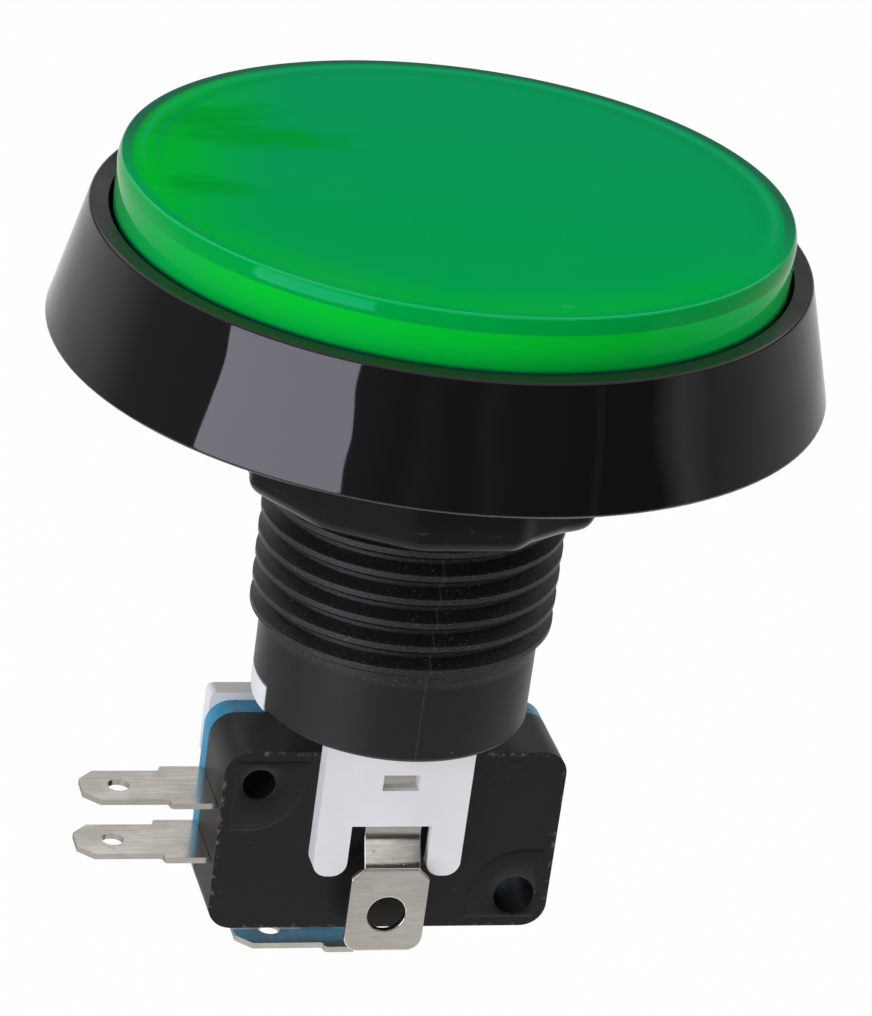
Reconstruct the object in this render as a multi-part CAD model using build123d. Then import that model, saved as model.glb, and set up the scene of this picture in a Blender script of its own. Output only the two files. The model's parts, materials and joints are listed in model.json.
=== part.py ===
from build123d import *
from math import asin, cos, degrees, pi, sin
import os

# Illuminated arcade push button. Millimetres, +Z up along the button's axis.
# The origin is on the axis in the plane where the bezel sits on the panel.
# +X runs along the snap switch, and its tabs point to -X.

# Bezel: the black dish above the panel
bezel_radius = 30.0
bezel_lip = 1.5
bezel_height = 9.45
bezel_floor = 2.2
bezel_rim_round = 0.25
bezel_foot_round = 0.2
seat_width = 5.5
seat_relief = 0.4
stop_radius = 1.8
stop_height = 2.6
stop_circle = 17.0
stop_count = 4

# Neck: the threaded tube below the bezel
neck_radius = 10.95
neck_wall = 1.65
neck_length = 30.35
neck_mouth_round = 0.4
thread_height = 0.93
thread_pitch = 2.0
thread_start = 2.0
thread_length = 21.45
thread_crest = 0.45
thread_foot = 1.7
thread_bed = 0.3
shoulder_drop = 1.5
shoulder_thickness = 2.5
notch_width = 5.3
notch_height = 2.3
snap_rise = 6.85
snap_width = 1.4
snap_depth = 0.35

# Panel nut
nut_corner_radius = 15.5
nut_sides = 12
nut_turn = 16.5
nut_height = 11.05
nut_corner_round = 0.8
nut_notch_count = 3
nut_notch_depth = 0.9
nut_chamfer = 0.6
nut_clearance = 0.15

# Push cap: lens, diffuser, and the plunger that carries them
press_travel = 2.3
stop_gap = 0.1
lens_radius = 25.7
lens_gap = 0.3
lens_rise = 4.1
lens_wall = 1.5
lens_edge_round = 0.25
lens_bevel_height = 1.3
lens_bevel_depth = 0.3
lens_bead_height = 0.9
lens_bead_depth = 0.35
diffuser_thickness = 1.2
dish_thickness = 1.6
rim_width = 1.5
stem_wall = 1.4
stem_drop = 13.0
stem_clearance = 0.25
finger_angle = 36.0
finger_slit = 1.2
hook_depth = 1.0
hook_lip = 0.8
hook_height = 3.0
key_width = 2.0
key_depth = 0.9
leg_angle = 40.0

# Return spring
spring_wire = 0.8
spring_play = 0.65
spring_turns = 5.0
spring_wire_sides = 8

# Lamp holder
holder_clearance = 0.2
holder_wall = 1.1
holder_floor = 2.0
barrel_height = 6.8
post_clearance = 0.9
post_height = 7.3
fork_width = 12.0
fork_thickness = 1.8
fork_bar_drop = 5.65
fork_leg_drop = 10.15
fork_leg_width = 2.75
fork_leg_round = 1.2
fork_barb = 0.35
window_width = 3.0
window_height = 1.4
window_drop = 1.05
pocket_wall = 0.75
arm_inset = 0.25
arm_rise = 0.65
arm_height = 6.2
arm_corner_round = 0.6
peg_length = 3.5
peg_clearance = 0.1

# Lamp
wedge_width = 9.2
wedge_thickness = 2.2
wedge_length = 6.5
collar_radius = 4.7
collar_height = 3.0
bulb_radius = 4.4
bulb_length = 15.0

# Lamp terminals
lamp_shift = 0.3
lamp_metal = 0.6
lamp_strip_width = 4.55
lamp_shoulder_width = 6.2
lamp_strip_drop = 1.5
lamp_joggle = 1.6
lamp_joggle_drop = 1.4
lamp_tab_width = 6.35
lamp_tab_length = 7.4
lamp_tab_corner = 0.9
lamp_tab_foot = 1.2
lamp_tab_hole = 3.1
lamp_tab_hole_rise = 3.35
lamp_bend_radius = 0.6

# Snap switch
switch_gap = 2.7
switch_shift = 0.35
switch_length = 27.8
switch_height = 15.9
switch_depth = 8.6
switch_corner_round = 2.0
switch_wall = 1.4
switch_front_wall = 1.2
cover_depth = 2.0
cover_wall = 1.0
hole_inset = 2.85
upper_hole = 2.6
lower_hole = 3.3
boss_wall = 0.9
actuator_radius = 1.6
actuator_flange = 0.5
actuator_flange_thickness = 0.8
actuator_foot_radius = 1.2
actuator_clearance = 0.1

# Switch terminals and contacts
tab_metal = 0.5
tab_width = 4.6
tab_length = 6.7
tab_shoulder_width = 6.0
tab_shoulder_length = 3.65
tab_step_round = 0.3
tab_inner_width = 4.4
tab_inner_reach = 6.6
tab_tip = 1.25
tab_hole = 1.8
tab_hole_inset = 3.0
tab_slot_gap = 0.05
closed_tab_drop = 5.55
open_tab_drop = 10.45
common_drop = 2.9
common_reach = 10.6
common_shoulder_start = 1.2
common_shoulder_end = 3.6
common_bend_radius = 0.7
common_inner_width = 3.8
blade_drop = 2.0
blade_metal = 0.3
blade_width = 3.6
blade_window_width = 2.0
blade_end = 0.7
pivot_inset = 4.1
pivot_bead = 0.35
pivot_gap = 0.1
contact_inset = 5.1
contact_radius = 1.3
contact_shank = 0.7
contact_head = 0.6
contact_gap = 0.9
rivet_head = 0.3
tongue_metal = 0.2
tongue_width = 1.6
tongue_before = 3.2
tongue_after = 2.5
tongue_room = 0.55
touch_gap = 0.05

# Radii and heights that follow from the sizes above
neck_bore = neck_radius - neck_wall
stem_radius = neck_bore - spring_play - spring_wire - stem_clearance
well_radius = lens_radius + lens_gap
bezel_top_radius = well_radius + bezel_lip
seat_inner_radius = bezel_radius - seat_width
mouth_z = -neck_length
shoulder_top = -shoulder_drop
shoulder_bottom = shoulder_top - shoulder_thickness
guide_radius = stem_radius + stem_clearance
snap_z = mouth_z + snap_rise
thread_crest_radius = neck_radius + thread_height

dish_bottom = bezel_floor + stop_height + stop_gap + press_travel
dish_top = dish_bottom + dish_thickness
lens_inner_radius = lens_radius - lens_wall
lens_top = bezel_height + lens_rise
lens_roof = lens_top - lens_wall
lens_bottom = dish_bottom - lens_bead_height
dish_radius = lens_inner_radius - touch_gap
diffuser_top = lens_roof - touch_gap
diffuser_bottom = diffuser_top - diffuser_thickness
stem_bore = stem_radius - stem_wall
stem_bottom = -stem_drop
post_radius = stem_bore - post_clearance
hook_top = shoulder_bottom - touch_gap
actuator_x = stem_radius - stem_wall / 2

holder_radius = neck_bore - holder_clearance
holder_bottom = mouth_z + touch_gap
holder_floor_top = holder_bottom + holder_floor
barrel_bore = holder_radius - holder_wall
post_top = holder_floor_top + post_height

switch_top = mouth_z - switch_gap
switch_bottom = switch_top - switch_height
switch_middle = (switch_top + switch_bottom) / 2
switch_left = switch_shift - switch_length / 2
switch_right = switch_shift + switch_length / 2
switch_rear = switch_depth / 2
switch_front = -switch_rear
parting_y = switch_rear - cover_depth
cavity_top = switch_top - switch_wall
cavity_front = switch_front + switch_front_wall
upper_hole_at = (switch_left + hole_inset, switch_top - hole_inset)
lower_hole_at = (switch_right - hole_inset, switch_bottom + hole_inset)
lower_boss_radius = lower_hole / 2 + boss_wall

closed_tab_z = switch_top - closed_tab_drop
open_tab_z = switch_top - open_tab_drop
blade_z = closed_tab_z - blade_drop
blade_top = blade_z + blade_metal / 2
blade_bottom = blade_z - blade_metal / 2
contact_x = switch_left + contact_inset
pivot_x = switch_right - pivot_inset
common_z = switch_bottom - common_drop
actuator_top = switch_top + press_travel + pocket_wall / 2
actuator_foot = blade_top + press_travel + tongue_room
leg_bottom = actuator_top + touch_gap
blade_swing = degrees(asin((contact_gap - touch_gap) / (pivot_x - contact_x)))


def rect(x_low, x_high, y_low, y_high):
    # Rectangle between two corners of a sketch
    return Pos((x_low + x_high) / 2, (y_low + y_high) / 2) * Rectangle(x_high - x_low, y_high - y_low)


def front_view(sketch, y_low, y_high):
    # Solid from a sketch in x and z, between two depths
    return Pos(0, y_high, 0) * extrude(Plane.XZ * sketch, y_high - y_low)


def plan_view(sketch, z_low, z_high):
    # Solid from a sketch in x and y, between two heights
    return Pos(0, 0, z_low) * extrude(sketch, z_high - z_low)


def turned(points, rounds):
    # Solid of revolution about Z from (radius, height) points; rounds maps a point's number to its radius
    radii = [rounds.get(number, 0) for number in range(len(points))]
    outline = FilletPolyline(*points, radius=radii, close=True)
    return revolve(Plane.XZ * make_face(outline), Axis.Z)


def sector(points, middle, angle):
    # Part of a ring: (radius, height) points turned through an angle about a middle direction
    outline = make_face(Polyline(*points, close=True))
    return Rot(0, 0, middle - angle / 2) * revolve(Plane.XZ * outline, Axis.Z, revolution_arc=angle)


def pin(radius, z_low, z_high, x=0, y=0):
    # Upright round bar
    return Pos(x, y, z_low) * extrude(Circle(radius), z_high - z_low)


def cross_pin(radius, at, y_low, y_high):
    # Round bar from front to back through a point of the front view
    return front_view(Pos(*at) * Circle(radius), y_low, y_high)


def make_thread():
    # Helical ridge with sloping flanks, rooted a little way into the neck
    bottom = -thread_start - thread_length
    path = Helix(pitch=thread_pitch, height=thread_length, radius=neck_radius, center=(0, 0, bottom))
    slope = (thread_foot - thread_crest) / 2 / thread_height
    bed_half = thread_foot / 2 + slope * thread_bed
    crest_half = thread_crest / 2
    ridge = make_face(Polyline(
        (-thread_bed, -bed_half),
        (thread_height, -crest_half),
        (thread_height, crest_half),
        (-thread_bed, bed_half),
        close=True,
    ))
    start = Plane(origin=path @ 0, x_dir=(1, 0, 0), z_dir=path % 0)
    return sweep(start * ridge, path=path, is_frenet=True)


def make_housing():
    # Bezel dish and neck, one moulding
    half_snap = snap_width / 2
    groove = neck_bore + snap_depth + touch_gap
    points = [
        (neck_bore, mouth_z),
        (neck_radius, mouth_z),
        (neck_radius, seat_relief),
        (seat_inner_radius, seat_relief),
        (seat_inner_radius, 0),
        (bezel_radius, 0),
        (bezel_top_radius, bezel_height),
        (well_radius, bezel_height),
        (well_radius, bezel_floor),
        (neck_bore, bezel_floor),
        (neck_bore, shoulder_top),
        (guide_radius, shoulder_top),
        (guide_radius, shoulder_bottom),
        (neck_bore, shoulder_bottom),
        (neck_bore, snap_z + half_snap),
        (groove, snap_z + half_snap - snap_depth),
        (groove, snap_z - half_snap + snap_depth),
        (neck_bore, snap_z - half_snap),
    ]
    rounds = {1: neck_mouth_round, 5: bezel_foot_round, 6: bezel_rim_round, 7: bezel_rim_round / 2}
    body = turned(points, rounds) + make_thread()
    half_notch = notch_width / 2
    notches = rect(-neck_radius * 2, neck_radius * 2, -half_notch, half_notch)
    body -= plan_view(notches, mouth_z - notch_height, mouth_z + notch_height)
    key_slot = rect(-stem_radius - key_depth - stem_clearance, 0, -key_width, key_width)
    key_slot = key_slot - rect(-stem_radius, 0, -key_width, key_width)
    half_key = key_width / 2 + stem_clearance
    key_slot &= rect(-neck_radius, 0, -half_key, half_key)
    body -= plan_view(key_slot, shoulder_bottom, shoulder_top)
    for number in range(stop_count):
        stop = pin(stop_radius, bezel_floor, bezel_floor + stop_height, x=stop_circle)
        body += Rot(0, 0, (number + 0.5) * 360 / stop_count) * stop
    return body


def make_panel_nut():
    # Many-sided nut with grip notches, a turned chamfer on its lower edge and a plain bore over the thread
    top = seat_relief - touch_gap
    bottom = top - nut_height
    half_side = nut_corner_radius * sin(pi / nut_sides)
    flat = nut_corner_radius * cos(pi / nut_sides)
    notch = make_face(Polyline(
        (flat - nut_notch_depth, nut_notch_depth - half_side),
        (flat - nut_notch_depth, half_side - nut_notch_depth),
        (flat + nut_notch_depth, half_side + nut_notch_depth),
        (flat + nut_notch_depth, -half_side - nut_notch_depth),
        close=True,
    ))
    sides = RegularPolygon(nut_corner_radius, nut_sides, rotation=nut_turn)
    first_side = nut_turn + 180 / nut_sides
    for number in range(nut_notch_count):
        sides -= Rot(0, 0, first_side - 90 + number * 360 / nut_notch_count) * notch
    sides = fillet(sides.vertices(), nut_corner_round)
    bore = thread_crest_radius + nut_clearance
    blank = turned([
        (bore, bottom),
        (nut_corner_radius - nut_chamfer, bottom),
        (nut_corner_radius, bottom + nut_chamfer),
        (nut_corner_radius, top),
        (bore, top),
    ], {})
    return plan_view(sides, bottom, top) & blank


def make_lens_cap():
    # Clear cup with a bevelled edge and a bead that snaps under the dish
    bead_radius = lens_inner_radius - lens_bead_depth
    bead_top = dish_bottom - touch_gap
    return turned([
        (0, lens_top),
        (lens_radius - lens_bevel_depth, lens_top),
        (lens_radius, lens_top - lens_bevel_height),
        (lens_radius, lens_bottom),
        (bead_radius, lens_bottom),
        (bead_radius, bead_top - lens_bead_depth),
        (lens_inner_radius, bead_top),
        (lens_inner_radius, lens_roof),
        (0, lens_roof),
    ], {1: lens_edge_round})


def make_diffuser():
    # Disc that lies on the dish's rim, just under the lens
    edge = diffuser_thickness / 4
    return turned([
        (0, diffuser_top),
        (dish_radius, diffuser_top),
        (dish_radius, diffuser_bottom),
        (0, diffuser_bottom),
    ], {1: edge})


def make_plunger():
    # Dish with a raised rim and a tubular stem; two sprung fingers hook under the neck's shoulder
    body = turned([
        (stem_bore, stem_bottom),
        (stem_radius, stem_bottom),
        (stem_radius, dish_bottom),
        (dish_radius, dish_bottom),
        (dish_radius, diffuser_bottom),
        (dish_radius - rim_width, diffuser_bottom),
        (dish_radius - rim_width, dish_top),
        (stem_bore, dish_top),
    ], {})
    hook = [
        (stem_radius - stem_wall / 2, hook_top),
        (stem_radius + hook_depth, hook_top),
        (stem_radius + hook_depth, hook_top - hook_lip),
        (stem_radius - stem_wall / 2, hook_top - hook_height),
    ]
    leg = [
        (stem_bore, leg_bottom),
        (stem_radius, leg_bottom),
        (stem_radius, stem_bottom + stem_wall),
        (stem_bore, stem_bottom + stem_wall),
    ]
    slit = rect(0, stem_radius * 2, -finger_slit / 2, finger_slit / 2)
    slit_top = shoulder_top + stem_wall
    for side in (90, 270):
        body += sector(hook, side, finger_angle)
        for edge in (-finger_angle, finger_angle):
            body -= Rot(0, 0, side + edge * 0.7) * plan_view(slit, stem_bottom - stem_wall, slit_top)
    body += sector(leg, 0, leg_angle)
    key = rect(-stem_radius - key_depth, -stem_radius + stem_wall / 2, -key_width / 2, key_width / 2)
    body += plan_view(key, stem_bottom, shoulder_top - press_travel)
    return body


def make_return_spring():
    # Coil between the neck's shoulder and the dish
    half_wire = spring_wire / 2
    low = shoulder_top + half_wire + touch_gap
    high = dish_bottom - half_wire - touch_gap
    radius = guide_radius + half_wire
    path = Helix(pitch=(high - low) / spring_turns, height=high - low, radius=radius, center=(0, 0, low))
    start = Plane(origin=path @ 0, z_dir=path % 0)
    return sweep(start * RegularPolygon(half_wire, spring_wire_sides), path=path, is_frenet=True)


def make_holder_plate(inner_pocket):
    # Fork in the front view: a wide bar with two round-ended legs, barbed at the top
    half = fork_width / 2
    bar_z = switch_top - fork_bar_drop
    leg_z = switch_top - fork_leg_drop
    barb_z = mouth_z - fork_thickness / 2
    legs = rect(-half, -half + fork_leg_width, leg_z, bar_z)
    legs += rect(half - fork_leg_width, half, leg_z, bar_z)
    legs = fillet(legs.vertices().group_by(Axis.Y)[0], fork_leg_round)
    plate = rect(-half, half, bar_z, holder_bottom) + legs
    for side in (-1, 1):
        plate += make_face(Polyline(
            (side * half, barb_z),
            (side * (half + fork_barb), barb_z),
            (side * half, barb_z - fork_barb * 2),
            close=True,
        ))
    outer = switch_rear + fork_thickness
    solid = front_view(plate, -outer, switch_front)
    return solid - inner_pocket


def make_lamp_holder():
    # Barrel and socket in the neck's mouth, with a fork in front of the switch and an arm behind it
    outer = switch_rear + fork_thickness
    half_snap = snap_width / 2
    bead = holder_radius + snap_depth
    barrel_top = holder_floor_top + barrel_height
    barrel = turned([
        (0, holder_bottom),
        (holder_radius, holder_bottom),
        (holder_radius, snap_z - half_snap),
        (bead, snap_z - half_snap + snap_depth),
        (bead, snap_z + half_snap - snap_depth),
        (holder_radius, snap_z + half_snap),
        (holder_radius, barrel_top),
        (barrel_bore, barrel_top),
        (barrel_bore, holder_floor_top),
        (0, holder_floor_top),
    ], {})
    barrel += pin(post_radius, holder_floor_top - holder_floor / 2, post_top)
    half_pocket = lamp_shoulder_width / 2 + touch_gap * 2
    pocket = rect(-half_pocket, half_pocket, pocket_wall - outer, switch_front + touch_gap)
    pocket = plan_view(Pos(lamp_shift, 0) * pocket, switch_bottom, holder_bottom)
    fork = make_holder_plate(pocket)
    rear = mirror(fork, about=Plane.XZ)
    window_z = switch_top - window_drop
    window = rect(-window_width / 2, window_width / 2, window_z - window_height, window_z)
    fork -= front_view(Pos(lamp_shift, 0) * window, -outer * 2, switch_front)
    arm_top = switch_top + arm_rise
    arm_end = -lamp_shoulder_width / 2 - pocket_wall
    arm = rect(switch_left + arm_inset, arm_end, arm_top - arm_height, arm_top)
    arm = fillet(arm.vertices().group_by(Axis.X)[0], arm_corner_round)
    rear += front_view(arm, switch_rear, outer)
    peg_radius = upper_hole / 2 - peg_clearance
    rear += cross_pin(peg_radius, upper_hole_at, switch_rear - peg_length, outer - touch_gap)
    half_lug = notch_width / 2 - holder_clearance
    lug = rect(-neck_radius, neck_radius, -half_lug, half_lug)
    lug &= Circle(neck_radius)
    lug -= Circle(barrel_bore)
    lug_top = mouth_z + notch_height - holder_clearance
    lugs = plan_view(lug, holder_bottom, lug_top)
    body = barrel + fork + rear + lugs
    half_wedge = wedge_thickness / 2
    lead_outer = half_wedge + lamp_metal + touch_gap * 2
    half_lead = lamp_strip_width / 2 + touch_gap
    half_width = wedge_width / 2 + touch_gap
    wedge_slot = rect(-half_width, half_width, -half_wedge - touch_gap, half_wedge + touch_gap)
    body -= plan_view(wedge_slot, holder_floor_top, post_top)
    lead_slots = rect(-half_lead, half_lead, -lead_outer, lead_outer)
    lead_slots -= rect(-half_lead, half_lead, -half_wedge - touch_gap, half_wedge + touch_gap)
    body -= plan_view(Pos(lamp_shift, 0) * lead_slots, holder_bottom, post_top)
    leg_room = [
        (stem_bore - stem_clearance, holder_bottom),
        (barrel_bore, holder_bottom),
        (barrel_bore, holder_floor_top),
        (stem_bore - stem_clearance, holder_floor_top),
    ]
    body -= sector(leg_room, 0, leg_angle * 1.25)
    return body


def make_lamp_base():
    # Wedge that plugs into the socket, with a round collar above it
    half_width = wedge_width / 2
    half_wedge = wedge_thickness / 2
    wedge = rect(-half_width, half_width, -half_wedge, half_wedge)
    seat = post_top + touch_gap
    return plan_view(wedge, seat - wedge_length, seat) + pin(collar_radius, seat, seat + collar_height)


def make_lamp_bulb():
    # Clear body with a domed end
    low = post_top + touch_gap + collar_height
    high = low + bulb_length
    return turned([
        (0, low),
        (bulb_radius, low),
        (bulb_radius, high),
        (0, high),
    ], {2: bulb_radius * 0.8})


def make_lamp_terminal():
    # Strip bent from the socket to the fork, with a joggle outwards to a wide tab
    half_wedge = wedge_thickness / 2
    lead_y = -half_wedge - touch_gap - lamp_metal / 2
    fork_y = pocket_wall - switch_rear - fork_thickness + touch_gap + lamp_metal / 2
    tab_y = fork_y - lamp_joggle
    run_z = (holder_bottom + switch_top) / 2
    bar_z = switch_top - fork_bar_drop
    bend_z = bar_z - lamp_strip_drop
    joggle_z = bend_z - lamp_joggle_drop
    tab_top = joggle_z - lamp_bend_radius
    tab_bottom = tab_top - lamp_tab_length
    path = FilletPolyline(
        (lead_y, post_top - touch_gap),
        (lead_y, run_z),
        (fork_y, run_z),
        (fork_y, bend_z),
        (tab_y, joggle_z),
        (tab_y, tab_bottom),
        radius=lamp_bend_radius,
    )
    strip = extrude(Plane.YZ * trace(path, lamp_metal), lamp_tab_width + lamp_shift, both=True)
    half_strip = lamp_strip_width / 2
    half_shoulder = lamp_shoulder_width / 2
    half_tab = lamp_tab_width / 2
    tab = rect(-half_tab, half_tab, tab_bottom, tab_top)
    tab = chamfer(tab.vertices().group_by(Axis.Y)[-1], lamp_tab_corner)
    tab = fillet(tab.vertices().group_by(Axis.Y)[0], lamp_tab_foot)
    tab -= Pos(0, tab_bottom + lamp_tab_hole_rise) * Circle(lamp_tab_hole / 2)
    outline = rect(-half_strip, half_strip, tab_top - lamp_metal, post_top)
    outline += rect(-half_shoulder, half_shoulder, bar_z - lamp_metal / 2, switch_top - lamp_metal)
    outline += tab
    return strip & front_view(Pos(lamp_shift, 0) * outline, tab_y - lamp_metal, 0)


def switch_outline(inset, corner_round):
    # Rounded outline of the switch in the front view, shrunk by an inset
    size = RectangleRounded(switch_length - inset * 2, switch_height - inset * 2, corner_round)
    return Pos(switch_shift, switch_middle) * size


def switch_holes(y_low, y_high):
    # The two mounting holes, at opposite corners
    return cross_pin(upper_hole / 2, upper_hole_at, y_low, y_high) + cross_pin(
        lower_hole / 2, lower_hole_at, y_low, y_high
    )


def make_switch_base():
    # Moulded tray, open to the rear, with bosses round the mounting holes
    base = front_view(switch_outline(0, switch_corner_round), switch_front, parting_y)
    hollow = switch_outline(switch_wall, switch_corner_round / 2)
    hollow -= Pos(*upper_hole_at) * Circle(upper_hole / 2 + boss_wall)
    hollow -= Pos(*lower_hole_at) * Circle(lower_boss_radius)
    base -= front_view(hollow, cavity_front, parting_y)
    base -= switch_holes(switch_front, parting_y)
    base -= pin(actuator_radius + actuator_clearance, cavity_top, switch_top, x=actuator_x)
    half_slot = tab_metal / 2 + tab_slot_gap
    slot_front = -tab_inner_width / 2 - tab_slot_gap
    for height in (closed_tab_z, open_tab_z):
        slot = rect(switch_left, switch_left + switch_wall, height - half_slot, height + half_slot)
        base -= front_view(slot, slot_front, parting_y)
    slot = rect(-half_slot, half_slot, switch_bottom, switch_bottom + switch_wall)
    slot = Pos(switch_shift, 0) * slot
    base -= front_view(slot, slot_front, parting_y)
    return base


def make_switch_cover():
    # Shallow lid over the tray, hollow inside
    cover = front_view(switch_outline(0, switch_corner_round), parting_y, switch_rear)
    hollow = switch_outline(switch_wall, switch_corner_round / 2)
    hollow -= Pos(*upper_hole_at) * Circle(upper_hole / 2 + boss_wall)
    hollow -= Pos(*lower_hole_at) * Circle(lower_boss_radius)
    cover -= front_view(hollow, parting_y, switch_rear - cover_wall)
    return cover - switch_holes(parting_y, switch_rear)


def make_switch_actuator():
    # Pin with a flange that keeps it in the case and a foot that bears on the tongue
    flange_top = cavity_top - touch_gap
    flange_bottom = flange_top - actuator_flange_thickness
    button = turned([
        (0, actuator_top),
        (actuator_radius, actuator_top),
        (actuator_radius, flange_top),
        (actuator_radius + actuator_flange, flange_top),
        (actuator_radius + actuator_flange, flange_bottom),
        (actuator_foot_radius, flange_bottom),
        (actuator_foot_radius, actuator_foot),
        (0, actuator_foot),
    ], {1: actuator_radius / 4, 6: actuator_foot_radius / 2})
    return Pos(actuator_x, 0, 0) * button


def tab_plan(inner_x, shoulder_x, neck_x, tip_x, inner_width, hole_x):
    # Flat terminal seen from above: inner strip, wide shoulder, then a tab with a cut tip and a hole
    tab = rect(tip_x, neck_x, -tab_width / 2, tab_width / 2)
    tab = chamfer(tab.vertices().group_by(Axis.X)[0], tab_tip)
    tab += rect(neck_x, shoulder_x, -tab_shoulder_width / 2, tab_shoulder_width / 2)
    steps = tab.vertices().filter_by_position(Axis.X, neck_x - touch_gap, neck_x + touch_gap)
    tab = fillet(steps, tab_step_round)
    tab += rect(shoulder_x, inner_x, -inner_width / 2, inner_width / 2)
    return tab - Pos(hole_x, 0) * Circle(tab_hole / 2)


def make_side_terminal(height):
    # Tab that leaves the switch's end; its inner end carries a contact
    neck_x = switch_left - tab_shoulder_length
    tip_x = neck_x - tab_length
    inner_x = switch_left + tab_inner_reach
    outer_face = switch_left - touch_gap
    plan = tab_plan(inner_x, outer_face, neck_x, tip_x, tab_inner_width, tip_x + tab_hole_inset)
    plan -= Pos(contact_x, 0) * Circle(contact_shank + touch_gap / 2)
    return plan_view(plan, height - tab_metal / 2, height + tab_metal / 2)


def make_common_terminal():
    # Bent strip: a tab under the switch, up through its floor, and along to the blade's pivot
    run_z = lower_hole_at[1] + lower_boss_radius + tab_metal
    tip_x = switch_shift - common_reach
    path = FilletPolyline(
        (tip_x, common_z),
        (switch_shift, common_z),
        (switch_shift, run_z),
        (pivot_x, run_z),
        (pivot_x, blade_z - pivot_bead - pivot_gap),
        radius=common_bend_radius,
    )
    strip = extrude(Plane.XZ * trace(path, tab_metal), tab_shoulder_width, both=True)
    plan = tab_plan(
        pivot_x + tab_metal,
        switch_shift - common_shoulder_start,
        switch_shift - common_shoulder_end,
        tip_x,
        common_inner_width,
        tip_x + tab_hole_inset,
    )
    return strip & plan_view(plan, common_z - tab_metal, blade_bottom)


def make_snap_blade():
    # Thin arm from a rolled bead at the pivot to the contacts, with a window below the switch's pin
    plan = rect(contact_x - contact_radius, pivot_x + blade_end, -blade_width / 2, blade_width / 2)
    plan -= Pos(contact_x, 0) * Circle(contact_shank + touch_gap / 2)
    half_window = blade_window_width / 2
    plan -= rect(actuator_x - actuator_foot_radius * 2, actuator_x + actuator_foot_radius * 1.5,
                 -half_window, half_window)
    bead = cross_pin(pivot_bead, (pivot_x, blade_z), -blade_width / 2, blade_width / 2)
    return plan_view(plan, blade_bottom, blade_top) + bead


def make_snap_spring():
    # Bowed tongue between the blade and the switch's pin
    foot = blade_top + tongue_metal
    arch = ThreePointArc(
        (actuator_x - tongue_before, foot),
        (actuator_x, actuator_foot - touch_gap - tongue_metal / 2),
        (actuator_x + tongue_after, foot),
    )
    return extrude(Plane.XZ * trace(arch, tongue_metal), tongue_width / 2, both=True)


def make_rivet(head_low, head_high, clamp_low, clamp_high):
    # Contact rivet: a shank through a strip with a head on each side
    shank = pin(contact_shank, clamp_low, clamp_high)
    lower = pin(contact_radius, head_low, clamp_low)
    upper = pin(contact_radius, clamp_high, head_high)
    return Pos(contact_x, 0, 0) * (lower + shank + upper)


half_tab_metal = tab_metal / 2
moving_top = blade_top + contact_head
moving_bottom = blade_bottom - contact_head
closed_face = moving_top + touch_gap
open_face = moving_bottom - contact_gap

nodes = {
    "lens_cap": make_lens_cap(),
    "diffuser": make_diffuser(),
    "plunger": make_plunger(),
    "return_spring": make_return_spring(),
    "housing": make_housing(),
    "panel_nut": make_panel_nut(),
    "lamp_holder": make_lamp_holder(),
    "lamp_base": make_lamp_base(),
    "lamp_bulb": make_lamp_bulb(),
    "lamp_terminal_front": make_lamp_terminal(),
    "lamp_terminal_rear": mirror(make_lamp_terminal(), about=Plane.XZ),
    "switch_base": make_switch_base(),
    "switch_cover": make_switch_cover(),
    "switch_actuator": make_switch_actuator(),
    "normally_closed_terminal": make_side_terminal(closed_tab_z),
    "normally_open_terminal": make_side_terminal(open_tab_z),
    "common_terminal": make_common_terminal(),
    "snap_blade": make_snap_blade(),
    "snap_spring": make_snap_spring(),
    "moving_contact": make_rivet(moving_bottom, moving_top, blade_bottom, blade_top),
    "normally_closed_contact": make_rivet(
        closed_face,
        closed_tab_z + half_tab_metal + rivet_head,
        closed_tab_z - half_tab_metal,
        closed_tab_z + half_tab_metal,
    ),
    "normally_open_contact": make_rivet(
        open_tab_z - half_tab_metal - rivet_head,
        open_face,
        open_tab_z - half_tab_metal,
        open_tab_z + half_tab_metal,
    ),
}

os.makedirs("parts", exist_ok=True)
for name, solid in nodes.items():
    export_step(solid, os.path.join("parts", name + ".step"))
print(f"blade pivot x {pivot_x:.3f} z {blade_z:.3f}, swing {blade_swing:.3f} degrees")
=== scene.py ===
import bmesh
import bpy
import json
import numpy as np
from math import cos, pi, radians, sin
from mathutils import Matrix, Vector


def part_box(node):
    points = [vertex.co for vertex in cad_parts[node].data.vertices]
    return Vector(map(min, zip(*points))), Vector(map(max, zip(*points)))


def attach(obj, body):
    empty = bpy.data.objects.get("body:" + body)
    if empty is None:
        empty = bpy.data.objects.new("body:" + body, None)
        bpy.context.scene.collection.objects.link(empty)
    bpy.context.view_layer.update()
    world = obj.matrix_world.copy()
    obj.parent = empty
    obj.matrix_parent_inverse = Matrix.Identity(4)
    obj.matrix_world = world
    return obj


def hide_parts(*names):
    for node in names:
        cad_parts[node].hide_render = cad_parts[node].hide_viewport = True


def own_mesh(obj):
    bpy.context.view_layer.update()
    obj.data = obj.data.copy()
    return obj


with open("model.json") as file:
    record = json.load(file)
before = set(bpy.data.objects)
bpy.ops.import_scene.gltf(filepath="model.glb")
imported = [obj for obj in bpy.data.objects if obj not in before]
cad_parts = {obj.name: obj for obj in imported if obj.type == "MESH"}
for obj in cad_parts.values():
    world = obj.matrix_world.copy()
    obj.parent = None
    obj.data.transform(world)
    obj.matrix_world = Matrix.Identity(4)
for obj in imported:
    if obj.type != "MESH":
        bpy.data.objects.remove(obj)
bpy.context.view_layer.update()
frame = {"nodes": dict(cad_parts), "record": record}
nodes = frame["nodes"]
mm = 0.001  # pieces are written in millimetres, the scene is in metres
print("frame loaded with", len(nodes), "pieces")


def nodeBox(node):
    # lowest and highest corners of a CAD piece at rest, in mm
    return [np.array(corner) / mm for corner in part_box(node)]


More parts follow.
